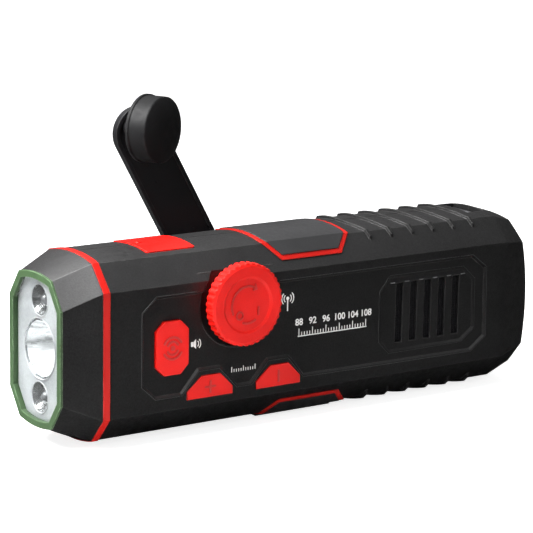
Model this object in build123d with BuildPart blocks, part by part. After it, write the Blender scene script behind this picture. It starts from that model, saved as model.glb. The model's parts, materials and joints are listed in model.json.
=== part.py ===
"""Hand-crank lamp and radio with a siren, built as separate solids in millimetres.

World frame: X runs along the body from the lens (-X) to the tail (+X), the control side
faces -Y, the crank side faces +Y, and the sole rests near Z = 0 under the body's middle.
The numbers below use body coordinates instead: x from the lens plane, y from the middle
plane and z from the mid-height axis. The plane helpers and box() convert them.
"""
from build123d import *
import math
import os

os.makedirs("parts", exist_ok=True)

CUT = Mode.SUBTRACT
overlap = 0.001         # lets a cutter break through the surface it starts on
through = 40.0          # y reach of cutters that pass right through the body

# ---- body ----
sole_x = 103.0          # sole centre along the body
sole_drop = 34.0        # sole below the mid-height axis
half_width = 22.5
wall = 2.2
# eight-sided sections: half width, half height of the flat sides,
# upper corner y, upper corner z, crest height
body_section = (half_width, 22.2, 14.63, 31.15, 33.0)
lens_section = (17.8, 16.56, 10.96, 26.07, 27.4)
tail_section = (15.8, 19.5, 11.2, 26.2, 27.6)
head_x = 14.0           # seam between bezel and seal ring
front_x = head_x + 2.6  # seam between seal ring and housing
tail_x = 191.0          # start of the tail taper
end_x = 209.0
tail_radius = 75.0      # rounding of the tail seen from the side

# shell screws: x, z, post length on the control side, on the crank side, y of the head seat
screws = [
    (27.0, 20.0, 20.7, 20.7, 14.0),
    (27.0, -20.0, 20.7, 20.7, 14.0),
    (180.5, 17.0, 21.2, 20.9, 16.5),
    (112.0, -23.5, 16.4, 16.4, 14.0),
]
post_radius = 3.4
screw_radius = 1.25
pillar_radius = 2.6     # pillars that carry the main board and the gear plate

# ---- outlines seen from the control side, points (x, z) ----
siren_outline = [
    (38.4, -9.6), (45.0, -9.6), (48.3, -6.3), (48.3, 6.2),
    (45.0, 9.5), (38.4, 9.5), (35.1, 6.2), (35.1, -6.3),
]
tuning_pitch = 29.2
tuning_up_outline = [
    (48.0, -19.5), (66.9, -19.5), (66.9, -16.7), (61.8, -11.6), (54.0, -11.6), (48.0, -16.7),
]
tuning_down_outline = [(x + tuning_pitch, z) for x, z in tuning_up_outline]
panel_outline = [
    (35.1, -17.4), (45.8, -17.4), (52.7, -9.5), (61.6, -9.5), (69.0, -17.3), (75.1, -17.3),
    (82.2, -9.5), (91.1, -9.5), (97.9, -17.4), (117.5, -17.6), (175.6, -17.9), (182.5, -13.0),
    (182.0, 13.6), (175.4, 18.7), (35.1, 18.5), (29.6, 13.4), (29.6, -12.4),
]
grille_outline = [
    (136.9, 14.8), (171.5, 14.7), (177.0, 9.6), (177.4, -9.5),
    (171.3, -13.9), (137.1, -14.1), (132.5, -9.5), (132.3, 9.2),
]
top_trim = [(83.7, 42.0), (83.7, 31.4), (89.4, 25.5), (115.6, 25.5), (122.3, 31.6), (122.3, 42.0)]
top_pad = [(85.4, 42.0), (85.4, 32.1), (90.1, 27.2), (114.9, 27.2), (120.6, 32.3), (120.6, 42.0)]
bottom_trim = [(x, -z) for x, z in top_trim]
bottom_pad = [(x, -z) for x, z in top_pad]
trim_depth = -0.9       # floor of the grip strips, as an offset of the body section

panel_depth = 0.8
slot_half_width = 1.6
slot_x = [141.8 + 6.65 * i for i in range(5)]
rib_x = [130.9, 140.7, 150.5, 160.3, 170.0, 179.4]

# ---- controls ----
dial_x, dial_z = 69.0, 13.2
dial_radius = 14.8
dial_shaft_radius = 3.0
button_gap = 0.25
lamp_button_x = 47.9
lamp_button_length, lamp_button_width = 19.8, 23.0
lanyard_rod = (187.0, 30.6, 1.2, -10.5, 10.5)   # x, z, radius, y0, y1

# ---- gear train ----
drive_module, fast_module = 1.0, 0.8
crank_teeth, pinion_teeth = 36, 12      # mesh at the drive module
idler_teeth, rotor_teeth = 32, 10       # mesh at the fast module
crank_x = 103.7
idler_x = crank_x - drive_module * (crank_teeth + pinion_teeth) / 2
rotor_x = idler_x - fast_module * (idler_teeth + rotor_teeth) / 2
crank_shaft_radius = 4.0
crank_hole_radius = 5.0
axle_radius, axle_hole_radius = 1.5, 1.55
plate_y = (17.6, 19.4)


# ---- planes ----
def cross_plane(x):
    """Plane across the body, drawn in (y, z), facing +X."""
    return Plane(origin=(x - sole_x, 0, sole_drop), x_dir=(0, 1, 0), z_dir=(1, 0, 0))


def side_plane(y):
    """Plane along the body, drawn in (x, z), facing -Y."""
    return Plane(origin=(-sole_x, y, sole_drop), x_dir=(1, 0, 0), z_dir=(0, -1, 0))


def level_plane(z):
    """Level plane, drawn in (x, y), facing +Z."""
    return Plane(origin=(-sole_x, 0, sole_drop + z), x_dir=(1, 0, 0), z_dir=(0, 0, 1))


# ---- free sketches, which do not join the part that calls for them ----
def disc(plane, centre, radius):
    with BuildSketch(plane) as outline:
        with Locations(centre):
            Circle(radius)
    return outline.sketch


def polygon(plane, points):
    with BuildSketch(plane) as outline:
        with BuildLine():
            Polyline(*points, close=True)
        make_face()
    return outline.sketch


def section_corners(section, offset):
    """Side corner, shoulder corner and crest of a section moved out by offset.

    The curved crest counts as its straight chord when the shoulder is offset.
    """
    half, side_z, corner_y, corner_z, crest = section
    length = math.hypot(corner_y - half, corner_z - side_z)
    slope_y, slope_z = (corner_y - half) / length, (corner_z - side_z) / length
    length = math.hypot(corner_y, crest - corner_z)
    roof_y, roof_z = -corner_y / length, (crest - corner_z) / length
    # one point on the offset slope and one on the offset roof chord
    start_y, start_z = half + offset * slope_z, side_z - offset * slope_y
    across_y = corner_y + offset * roof_z - start_y
    across_z = corner_z - offset * roof_y - start_z
    to_side = (half + offset - start_y) / slope_y
    to_roof = (roof_y * across_z - across_y * roof_z) / (roof_y * slope_z - slope_y * roof_z)
    side = (half + offset, start_z + to_side * slope_z)
    shoulder = (start_y + to_roof * slope_y, start_z + to_roof * slope_z)
    return side, shoulder, crest + offset


def section_face(x, section, offset=0.0):
    (side_y, side_z), (top_y, top_z), crest = section_corners(section, offset)
    with BuildSketch(cross_plane(x)) as outline:
        with BuildLine():
            Polyline((top_y, -top_z), (side_y, -side_z), (side_y, side_z), (top_y, top_z))
            ThreePointArc((top_y, top_z), (0, crest), (-top_y, top_z))
            Polyline((-top_y, top_z), (-side_y, side_z), (-side_y, -side_z), (-top_y, -top_z))
            ThreePointArc((-top_y, -top_z), (0, -crest), (top_y, -top_z))
        make_face()
    return outline.sketch


def inset(points, distance):
    """Outline moved inwards by distance, or outwards when it is negative."""
    following = points[1:] + points[:1]
    area = sum(p[0] * q[1] - q[0] * p[1] for p, q in zip(points, following))
    turn = 1 if area > 0 else -1

    def inward_normal(start, end):
        dx, dz = end[0] - start[0], end[1] - start[1]
        length = math.hypot(dx, dz)
        return -dz / length * turn, dx / length * turn

    moved = []
    for i, point in enumerate(points):
        nx, nz = inward_normal(points[i - 1], point)
        mx, mz = inward_normal(point, following[i])
        scale = distance / (1 + nx * mx + nz * mz)
        moved.append((point[0] + scale * (nx + mx), point[1] + scale * (nz + mz)))
    return moved


# ---- solids, added to or cut from the part being built ----
def prism(outline, amount, both=False, mode=Mode.ADD):
    extrude(list(outline.faces()), amount=amount, both=both, mode=mode)


def skin(start, end, mode=Mode.ADD):
    """Ruled solid between two sketches."""
    loft([*start.faces(), *end.faces()], ruled=True, mode=mode)


def bar(x0, x1, section, offset=0.0, mode=Mode.ADD):
    """Straight length of an eight-sided section."""
    prism(section_face(x0, section, offset), x1 - x0, mode=mode)


def taper(start, end, mode=Mode.ADD):
    """Solid between two sections, each given as (x, section, offset)."""
    skin(section_face(*start), section_face(*end), mode)


def span(centre, half):
    return centre - half, centre + half


def box(x_range, y_range, z_range, mode=Mode.ADD):
    (x0, x1), (y0, y1), (z0, z1) = x_range, y_range, z_range
    centre = (0.5 * (x0 + x1) - sole_x, 0.5 * (y0 + y1), 0.5 * (z0 + z1) + sole_drop)
    with Locations(centre):
        Box(x1 - x0, y1 - y0, z1 - z0, mode=mode)


def rod(plane, radius, length, both=False, mode=Mode.ADD):
    """Cylinder that starts at the plane's origin."""
    prism(disc(plane, (0, 0), radius), length, both=both, mode=mode)


def rod_x(y, z, radius, x0, x1):
    prism(disc(cross_plane(x0), (y, z), radius), x1 - x0)


def rod_y(x, z, radius, y0, y1, mode=Mode.ADD):
    prism(disc(side_plane(y1), (x, z), radius), y1 - y0, mode=mode)


def rod_z(x, radius, z0, height):
    prism(disc(level_plane(z0), (x, 0), radius), height)


def cone_x(z, start, end, mode=Mode.ADD):
    """Cone along x on the middle plane; start and end are (x, radius)."""
    skin(*[disc(cross_plane(x), (0, z), radius) for x, radius in (start, end)], mode)


def cone_y(x, z, start, end, mode=Mode.ADD):
    """Cone along y; start and end are (y, radius)."""
    skin(*[disc(side_plane(y), (x, z), radius) for y, radius in (start, end)], mode)


def prism_y(points, y0, y1, mode=Mode.ADD):
    prism(polygon(side_plane(y1), points), y1 - y0, mode=mode)


def recess(points, y0, y1, bevel):
    """Cut between y0 and y1 whose outline shrinks by bevel at y1."""
    skin(polygon(side_plane(y0), points), polygon(side_plane(y1), inset(points, bevel)), CUT)


def grip_band(outer, outline):
    """Strip that follows the body skin, limited to an outline seen from the side."""
    bar(60.0, 130.0, body_section, outer)
    bar(59.0, 131.0, body_section, trim_depth, CUT)
    prism_y(outline, -through, through, Mode.INTERSECT)


def rounded_prism(length, width, corner, z0, mode):
    """Rounded rectangle at the lamp button, 12 mm tall."""
    with BuildSketch(level_plane(z0)) as outline:
        with Locations((lamp_button_x, 0)):
            RectangleRounded(length, width, corner)
    prism(outline.sketch, 12, mode=mode)


def save(name, builder):
    builder.part.label = name
    export_step(builder.part, f"parts/{name}.step")


# ---- housing ----
# cutters for the rebates of the grip strips
rebates = []
for trim in (top_trim, bottom_trim):
    with BuildPart() as rebate:
        grip_band(3.0, trim)
    rebates.append(rebate.part)

# bowed ribs across the top and bottom of the rear half of the body
rib_half, rib_bow, rib_reach = 0.6, 3.1, 16.6
with BuildPart() as ribs:
    for side in (1, -1):
        with BuildSketch(level_plane(20 * side)):
            for x in rib_x:
                x0, x1 = span(x, rib_half)
                with BuildLine():
                    for edge in (x0, x1):
                        ThreePointArc((edge, -rib_reach), (edge - rib_bow, 0), (edge, rib_reach))
                    for y in (-rib_reach, rib_reach):
                        tip = y + math.copysign(rib_half, y)
                        ThreePointArc((x0, y), (x, tip), (x1, y))
                make_face()
        extrude(amount=20 * side)
    bar(120, 190, body_section, 0.95, Mode.INTERSECT)
    bar(119, 191, body_section, -0.5, CUT)


def body_shell():
    """Both halves of the housing in one piece."""
    bar(front_x, tail_x, body_section)
    taper((tail_x, body_section), (end_x, tail_section))
    # round the tail
    with BuildSketch(side_plane(through)) as side_view:
        with Locations((132.7, -3.0)):
            Circle(tail_radius)
        with Locations((70, 0)):
            Rectangle(180, 120)
    prism(side_view.sketch, 2 * through, mode=Mode.INTERSECT)
    # hollow
    bar(front_x - 1, 189.0, body_section, -wall, CUT)
    box((188.5, 199.0), (-13, 13), (-19, 19), CUT)
    # lanyard pocket in the top near the tail
    box((180.5, 193.5), (-11, 11), (22.6, 30.9))
    box((183.0, 191.0), (-9, 9), (25.0, 36.0), CUT)
    rod_y(*lanyard_rod, mode=CUT)
    add(ribs.part)
    for cutter in rebates:
        add(cutter, mode=CUT)
    # opening of the lamp button
    rounded_prism(lamp_button_length + 2 * button_gap, lamp_button_width + 2 * button_gap,
                  1.1, 26, CUT)


with BuildPart() as front_shell:
    body_shell()
    box((-20, 230), (0, 60), (-60, 60), CUT)
    # boss behind the dial pocket, trimmed flat at the top
    with BuildSketch(side_plane(-17.8)):
        with Locations((dial_x, dial_z)):
            Circle(19.4)
        with Locations((dial_x, -2.6)):
            Rectangle(60, 54.6, mode=Mode.INTERSECT)
    extrude(amount=2.7)
    # control panel and grille step, both with a bevelled edge
    panel_y = -half_width + panel_depth
    recess(panel_outline, -half_width - overlap, panel_y, 0.7)
    recess(grille_outline, panel_y - overlap, panel_y + 0.5, 0.9)
    for x in slot_x:
        box(span(x, slot_half_width), (-30, -19), (-10.8, 11.3), CUT)
        # bevelled upper lip of the slot
        lip = [(-half_width, 12.6), (-half_width, 11.0), (-19.5, 11.0)]
        prism(polygon(cross_plane(x - slot_half_width), lip), 2 * slot_half_width, mode=CUT)
    # dial pocket and shaft hole
    rod_y(dial_x + 0.3, dial_z - 0.3, 15.8, -30, -20.0, CUT)
    rod_y(dial_x, dial_z, dial_shaft_radius + 0.05, -30, -10, CUT)
    for outline in (siren_outline, tuning_up_outline, tuning_down_outline):
        prism_y(inset(outline, -button_gap), -30, -18, CUT)
    # board pillars and screw posts
    for x, z in ((36.6, 15.2), (36.6, -14.6), (121.0, 15.2), (121.0, -13.6)):
        rod_y(x, z, pillar_radius, -21.0, -12.0)
    for x, z, post, _, _ in screws:
        rod_y(x, z, post_radius, -post, 0)
        rod_y(x, z, screw_radius, -14, 1, CUT)
save("front_shell", front_shell)

with BuildPart() as rear_shell:
    body_shell()
    box((-20, 230), (-60, 0), (-60, 60), CUT)
    for x, z, _, post, seat in screws:
        rod_y(x, z, post_radius, 0, post)
        rod_y(x, z, 1.55, -1, 30, CUT)      # screw clearance
        rod_y(x, z, 2.9, seat, 40, CUT)     # head pocket
    # crank shaft passage and gear plate pillars
    rod_y(crank_x, 0, crank_hole_radius, 15, 30, CUT)
    for x, z in ((124.0, 12.5), (124.0, -6.0), (44.0, 12.5), (44.0, -12.5)):
        rod_y(x, z, pillar_radius, plate_y[1], 20.8)
save("rear_shell", rear_shell)

with BuildPart() as shell_screws:
    for x, z, _, _, seat in screws:
        rod_y(x, z, 2.7, seat, seat + 2.0)
        rod_y(x, z, screw_radius, -11.0, seat)
        # cross slot
        box(span(x, 1.6), (seat + 1.2, seat + 3), span(z, 0.35), CUT)
        box(span(x, 0.35), (seat + 1.2, seat + 3), span(z, 1.6), CUT)
save("shell_screws", shell_screws)

# ---- lamp head ----
head_opening = -4.4     # offset of the opening in the body section
ring_seat = -1.2        # offset of the glow ring's seat in the lens section
lens_edge = -2.5        # offset of the lens edge in the lens section
lip_x = 0.9             # back of the glow ring's lip
plate_x = 2.6           # front of the reflector plate
side_led_z = (17.2, -17.2)
led_board_x = 18.0

with BuildPart() as head_seal_ring:
    bar(head_x, front_x, body_section, 0.25)
    bar(head_x - 1, front_x + 1, body_section, head_opening, CUT)
save("head_seal_ring", head_seal_ring)

with BuildPart() as head_bezel:
    taper((head_x, body_section), (lip_x, lens_section, -0.1))
    taper((head_x + overlap, body_section, head_opening), (6.0, lens_section, ring_seat), CUT)
    bar(0.0, 6.2, lens_section, ring_seat, CUT)
save("head_bezel", head_bezel)

with BuildPart() as glow_ring:
    bar(0.0, lip_x, lens_section, -0.15)
    bar(lip_x, 5.8, lens_section, ring_seat)
    bar(-1.0, 6.0, lens_section, lens_edge, CUT)
save("glow_ring", glow_ring)

with BuildPart() as lens:
    bar(1.4, plate_x, lens_section, lens_edge)
save("lens", lens)

with BuildPart() as reflector:
    bar(plate_x, 4.0, lens_section, lens_edge)
    # outside of the main bowl and the side cups
    cone_x(0, (4.0, 12.0), (led_board_x, 5.6))
    for z in side_led_z:
        rod_x(0, z, 6.2, 4.0, 8.0)
    # their hollows
    cone_x(0, (plate_x - overlap, 10.6), (led_board_x + overlap, 3.4), CUT)
    for z in side_led_z:
        cone_x(z, (plate_x - overlap, 5.4), (8.0 + overlap, 2.6), CUT)
save("reflector", reflector)

with BuildPart() as main_led:
    box((16.2, led_board_x), (-2.2, 2.2), (-2.2, 2.2))
    rod_x(0, 0, 1.6, 14.8, 16.2)
save("main_led", main_led)

with BuildPart() as side_leds:
    for z in side_led_z:
        rod_x(0, z, 2.5, 5.4, led_board_x)
save("side_leds", side_leds)

with BuildPart() as led_board:
    bar(led_board_x, led_board_x + 1.6, body_section, -5.5)
    # clear the two screw posts in the head
    for x, z, *_ in screws[:2]:
        rod_y(x, z, 4.0, -30, 30, CUT)
save("led_board", led_board)

# ---- grip strips ----
for name, trim, opening in (
    ("top_trim_frame", top_trim, top_pad),
    ("bottom_trim_frame", bottom_trim, bottom_pad),
):
    with BuildPart() as trim_frame:
        grip_band(0.35, trim)
        prism_y(opening, -through, through, CUT)
    save(name, trim_frame)

with BuildPart() as top_grip_pad:
    grip_band(0.6, top_pad)
save("top_grip_pad", top_grip_pad)

with BuildPart() as bottom_grip_pad:
    grip_band(0.5, bottom_pad)
    box((86.4, 119.6), (-9.0, 9.0), (-sole_drop, -32.4))    # flat sole
save("bottom_grip_pad", bottom_grip_pad)

with BuildPart() as lanyard_bar:
    rod_y(*lanyard_rod)
save("lanyard_bar", lanyard_bar)

# ---- buttons ----
# name, outline, flange margin, stem x, stem z, stem radius
for name, outline, margin, x, z, radius in (
    ("siren_button", siren_outline, 1.2, 41.0, 0.2, 2.2),
    ("tuning_up_button", tuning_up_outline, 1.0, 57.5, -14.6, 2.0),
    ("tuning_down_button", tuning_down_outline, 1.0, 86.6, -14.6, 2.0),
):
    with BuildPart() as button:
        prism_y(outline, -22.75, -19.0)
        prism_y(inset(outline, -margin), -20.1, -18.8)
        rod_y(x, z, radius, -18.8, -15.0)
    save(name, button)

with BuildPart() as light_button:
    # cap that follows the body's crest
    bar(30, 66, body_section, 0.4)
    rounded_prism(lamp_button_length, lamp_button_width, 0.9, 28.0, Mode.INTERSECT)
    # flange, raised dot and stem
    box((37.0, 58.8), (-12.2, 12.2), (27.8, 28.9))
    with Locations((41.5 - sole_x, 0, 33.3 + sole_drop)):
        Cylinder(radius=1.1, height=0.9)
    rod_z(lamp_button_x, 2.2, z0=25.8, height=2.2)
save("light_button", light_button)

# ---- volume dial ----
dial_inner_y, dial_rim_y, dial_outer_y = -24.2, -28.1, -28.7
with BuildPart() as volume_dial:
    # disc with a scalloped edge
    with BuildSketch(side_plane(dial_inner_y)):
        with Locations((dial_x, dial_z)):
            Circle(dial_radius)
            with PolarLocations(dial_radius + 0.5, 38):
                Circle(0.9, mode=CUT)
    extrude(amount=dial_inner_y - dial_rim_y)
    # bevelled outer edge, then the hub towards the body
    cone_y(dial_x, dial_z, (dial_rim_y + overlap, dial_radius - 0.35),
           (dial_outer_y, dial_radius - 1.1))
    rod_y(dial_x, dial_z, 10.4, -24.3, -20.3)
    # dished centre and shaft bore
    cone_y(dial_x, dial_z, (dial_outer_y - overlap, 10.2), (dial_rim_y, 9.4), CUT)
    rod_y(dial_x, dial_z, dial_shaft_radius, -24.0, -20.0, CUT)
save("volume_dial", volume_dial)

with BuildPart() as dial_shaft:
    rod_y(dial_x, dial_z, dial_shaft_radius, -24.0, -13.2)
save("dial_shaft", dial_shaft)

# ---- electronics ----
board_y = (-12.0, -10.4)
speaker_x, speaker_z = 155.1, 0.3
sounder_x = 104.0
battery_y, battery_z = 9.0, -18.0
battery_x = (122.0, 185.0)
terminal_end = 186.4
contact_thickness = 0.6
ferrite_y, ferrite_z, ferrite_radius = -3.0, 25.0, 3.6

with BuildPart() as main_board:
    box((32.8, 125.0), board_y, (-17.5, 18.6))
save("main_board", main_board)

with BuildPart() as volume_potentiometer:
    rod_y(dial_x, dial_z, 5.4, -16.6, board_y[0])
    rod_y(dial_x, dial_z, dial_shaft_radius + 0.05, -17, -12.9, CUT)
save("volume_potentiometer", volume_potentiometer)

with BuildPart() as tact_switches:
    for x, z in ((41.0, 0.2), (57.5, -14.3), (86.6, -14.3)):
        box(span(x, 3), (-13.5, board_y[0]), span(z, 3))
        rod_y(x, z, 1.6, -13.9, -13.5)
save("tact_switches", tact_switches)

with BuildPart() as lamp_switch_board:
    box((36, 60), (-10, 10), (21.8, 23.2))
    box(span(lamp_button_x, 3), (-3, 3), (23.2, 24.6))
    rod_z(lamp_button_x, 1.6, z0=24.6, height=0.3)
save("lamp_switch_board", lamp_switch_board)

with BuildPart() as siren_sounder:
    rod_y(sounder_x, 0, 11.0, board_y[1], -5.4)
    rod_y(sounder_x, 0, 1.2, -7.0, -5.0, CUT)
save("siren_sounder", siren_sounder)

with BuildPart() as grille_cloth:
    box((137.5, 173.0), (-20.25, -19.85), (-13.5, 14.0))
save("grille_cloth", grille_cloth)

with BuildPart() as speaker_basket:
    rod_y(speaker_x, speaker_z, 18.4, -19.8, -18.2)
    cone_y(speaker_x, speaker_z, (-18.2, 16.5), (-8.0, 10.5))
    cone_y(speaker_x, speaker_z, (-19.8 - overlap, 15.2), (-9.2, 9.2), CUT)
save("speaker_basket", speaker_basket)

with BuildPart() as speaker_cone:
    cone_y(speaker_x, speaker_z, (-19.4, 14.6), (-13.0, 5.5))
    cone_y(speaker_x, speaker_z, (-19.4 - overlap, 14.0), (-13.6, 5.0), CUT)
save("speaker_cone", speaker_cone)

with BuildPart() as speaker_magnet:
    rod_y(speaker_x, speaker_z, 9.8, -8.0, -2.0)
save("speaker_magnet", speaker_magnet)

with BuildPart() as battery_cell:
    rod_x(battery_y, battery_z, 9.2, *battery_x)
    rod_x(battery_y, battery_z, 3.0, battery_x[1], terminal_end)
save("battery_cell", battery_cell)

with BuildPart() as battery_contacts:
    for x in (battery_x[0] - contact_thickness, terminal_end):
        box((x, x + contact_thickness), span(battery_y, 5), span(battery_z, 5))
save("battery_contacts", battery_contacts)

with BuildPart() as ferrite_rod:
    rod_x(ferrite_y, ferrite_z, ferrite_radius, 66.0, 128.0)
save("ferrite_rod", ferrite_rod)

with BuildPart() as antenna_coil:
    rod_x(ferrite_y, ferrite_z, 4.5, 84.0, 102.0)
    bore = disc(cross_plane(83.0), (ferrite_y, ferrite_z), ferrite_radius)
    prism(bore, 20.0, mode=CUT)
save("antenna_coil", antenna_coil)


# ---- generator and gear train ----
def gear(x, module, teeth, y0, y1, phase):
    """Straight-flanked gear on the mid-height axis; phase turns its first tooth, in degrees."""
    pitch_radius = module * teeth / 2
    root, tip = pitch_radius - 1.15 * module, pitch_radius + 0.85 * module
    root_angle, tip_angle = 0.68 * module / pitch_radius, 0.26 * module / pitch_radius
    points = []
    for i in range(teeth):
        middle = math.radians(phase) + 2 * math.pi * i / teeth
        for radius, turn in (
            (root, -root_angle), (tip, -tip_angle), (tip, tip_angle), (root, root_angle),
        ):
            angle = middle + turn
            points.append((x + radius * math.cos(angle), radius * math.sin(angle)))
    prism_y(points, y0, y1)


with BuildPart() as gear_plate:
    box((40.0, 128.0), plate_y, (-16.0, 16.0))
    rod_y(crank_x, 0, crank_hole_radius, 10, 30, CUT)
    # generator pillars, then the notch in the lower tail-side corner
    for z in (13.0, -13.0):
        rod_y(rotor_x, z, 2.0, 8.5, 17.8)
    box((114.0, 130.0), (10, 30), (-20, -7.6), CUT)
save("gear_plate", gear_plate)

with BuildPart() as generator_case:
    rod_y(rotor_x, 0, 11.6, -5.0, 8.5)
    box(span(rotor_x, 3.0), (6.9, 8.5), (-15.0, 15.0))
    rod_y(rotor_x, 0, 8.6, -4.0, 7.6, CUT)
    rod_y(rotor_x, 0, axle_hole_radius, 0, 10, CUT)
save("generator_case", generator_case)

with BuildPart() as generator_rotor:
    rod_y(rotor_x, 0, 7.8, -3.0, 6.0)
    rod_y(rotor_x, 0, axle_radius, -3.0, 12.8)
    gear(rotor_x, fast_module, rotor_teeth, 9.4, 12.5, phase=18.0)
save("generator_rotor", generator_rotor)

with BuildPart() as idler_gear:
    gear(idler_x, drive_module, pinion_teeth, 12.5, 16.8, phase=15.0)
    gear(idler_x, fast_module, idler_teeth, 9.6, 12.5, phase=0.0)
    rod_y(idler_x, 0, axle_hole_radius, 5, 20, CUT)
save("idler_gear", idler_gear)

with BuildPart() as idler_axle:
    rod_y(idler_x, 0, axle_radius, 8.8, plate_y[0])
    rod_y(idler_x, 0, 2.4, 8.4, 9.2)
save("idler_axle", idler_axle)

with BuildPart() as crank_housing:
    cone_y(crank_x, 0, (22.5, 19.0), (34.0, 16.2))
    rod_y(crank_x, 0, crank_shaft_radius + 0.05, 15, 40, CUT)
save("crank_housing", crank_housing)

with BuildPart() as crank_drive_gear:
    gear(crank_x, drive_module, crank_teeth, 14.0, 16.8, phase=0.0)
    rod_y(crank_x, 0, crank_shaft_radius, 13.0, 17.8, CUT)
save("crank_drive_gear", crank_drive_gear)

# ---- crank ----
arm_lean = math.radians(29.6)       # arm leans from upright towards the lens
arm_length, arm_half_width, arm_thickness = 74.2, 9.85, 3.0
root_gap = 0.4                      # from the crank axis to the square end of the arm
recess_start, recess_depth, recess_rim = 7.0, 0.6, 1.5
hinge_y = 42.0
knob_radius = 12.6
knob_body_radius = knob_radius - 0.4
knob_lean = math.radians(24)        # knob axis leans from -Y towards the tail
axle_start = 0.6                    # start of the knob axle along the knob axis
dome_start = 15.3

arm_along = Vector(-math.sin(arm_lean), 0, math.cos(arm_lean))
arm_across = Vector(math.cos(arm_lean), 0, math.sin(arm_lean))
hinge_centre = Vector(crank_x - sole_x, hinge_y, sole_drop)
hinge_plane = Plane(origin=hinge_centre, x_dir=arm_along, z_dir=arm_across)
# the knob sits 4.4 past the arm's end centre and 2.2 to its lens side
knob_centre = hinge_centre + arm_along * (arm_length + 4.4) - arm_across * 2.2
knob_axis = Vector(math.sin(knob_lean), -math.cos(knob_lean), 0)


def arm_plane(y):
    """Plane drawn in (along the arm, across the arm), facing +Y."""
    return Plane(origin=(crank_x - sole_x, y, sole_drop), x_dir=arm_along, z_dir=(0, 1, 0))


def knob_plane(distance):
    """Plane square to the knob axis, at a distance from the arm's mid plane."""
    return Plane(origin=knob_centre + knob_axis * distance, x_dir=(0, 0, 1), z_dir=knob_axis)


with BuildPart() as crank_hub:
    rod_y(crank_x, 0, 14.0, 34.3, 38.8)
    rod_y(crank_x, 0, crank_shaft_radius, 13.6, 34.3)
    # two hinge lugs
    with BuildSketch(arm_plane(38.6)):
        for side in (1, -1):
            with Locations((0, side * 11.4)):
                Rectangle(8.0, 2.4)
    extrude(amount=5.8)
    rod(hinge_plane, axle_radius, 20, both=True, mode=CUT)
save("crank_hub", crank_hub)

with BuildPart() as crank_hinge_pin:
    rod(hinge_plane, axle_radius, 12.4, both=True)
save("crank_hinge_pin", crank_hinge_pin)

with BuildPart() as crank_arm:
    with BuildSketch(arm_plane(hinge_y - arm_thickness / 2)):
        with Locations(((arm_length + root_gap) / 2, 0)):
            Rectangle(arm_length - root_gap, 2 * arm_half_width)
        with Locations((arm_length, 0)):
            Circle(arm_half_width)
    extrude(amount=arm_thickness)
    # shallow recess in both broad faces
    for y in (hinge_y - arm_thickness / 2 - overlap, hinge_y + arm_thickness / 2 - recess_depth):
        with BuildSketch(arm_plane(y)):
            with Locations(((arm_length + recess_start) / 2, 0)):
                Rectangle(arm_length - recess_start, 2 * (arm_half_width - recess_rim))
            with Locations((arm_length, 0)):
                Circle(arm_half_width - recess_rim)
        extrude(amount=recess_depth + overlap, mode=CUT)
    # hinge barrel
    rod(hinge_plane, 2.4, arm_half_width, both=True)
    rod(hinge_plane, axle_hole_radius, 20, both=True, mode=CUT)
    # stub that carries the knob axle
    rod(knob_plane(0.0), 3.0, 5.6)
    rod(knob_plane(axle_start), axle_radius, 10, mode=CUT)
save("crank_arm", crank_arm)

with BuildPart() as knob_axle:
    rod(knob_plane(axle_start), axle_radius, 13.0)
save("knob_axle", knob_axle)

with BuildPart() as crank_knob:
    # rim, then body
    rod(knob_plane(7.3), knob_radius, 1.1)
    rod(knob_plane(8.3), knob_body_radius, 7.0)
    # domed end, revolved from half its profile
    dome_origin = knob_plane(dome_start).origin
    dome_normal = (math.cos(knob_lean), math.sin(knob_lean), 0)
    with BuildSketch(Plane(origin=dome_origin, x_dir=(0, 0, 1), z_dir=dome_normal)):
        with BuildLine():
            ThreePointArc((knob_body_radius, 0), (knob_body_radius * 0.72, 1.5), (0, 2.6))
            Polyline((0, 2.6), (0, 0), (knob_body_radius, 0))
        make_face()
    revolve(axis=Axis(dome_origin, knob_axis))
    # axle bore and the counterbore on the arm side
    rod(knob_plane(6.0), axle_hole_radius, 8.2, mode=CUT)
    rod(knob_plane(6.9), 5.0, 1.2, mode=CUT)
save("crank_knob", crank_knob)
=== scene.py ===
"""Looks for a hand-cranked radio with a torch head.

Metres, +Z up. The radio lies along X with the lamp head at its -X end. The side with
the siren key, tuning keys, dial and grille faces -Y; the crank housing is on the +Y side.
"""
import bpy
import bmesh
import json
import math
from mathutils import Vector, Matrix


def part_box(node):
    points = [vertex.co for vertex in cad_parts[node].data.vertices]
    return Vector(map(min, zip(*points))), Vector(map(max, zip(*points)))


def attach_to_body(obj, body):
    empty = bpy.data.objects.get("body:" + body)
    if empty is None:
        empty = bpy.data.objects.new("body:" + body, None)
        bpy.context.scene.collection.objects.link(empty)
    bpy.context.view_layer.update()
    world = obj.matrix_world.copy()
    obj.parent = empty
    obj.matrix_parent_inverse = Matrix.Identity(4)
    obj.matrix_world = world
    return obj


MM = 0.001
X, Z = Vector((1, 0, 0)), Vector((0, 0, 1))

# Control-side drawing frame, in mm: its origin lies at model x = -103, z = +34.
SIDE_X, SIDE_Z = 103.0, 34.0

# Lamp head
BOWL_RADIUS = 10.6        # mm, at the mouth
SMALL_LAMP_OFFSET = 0.0172  # m, small lamps above and below the bowl

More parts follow.
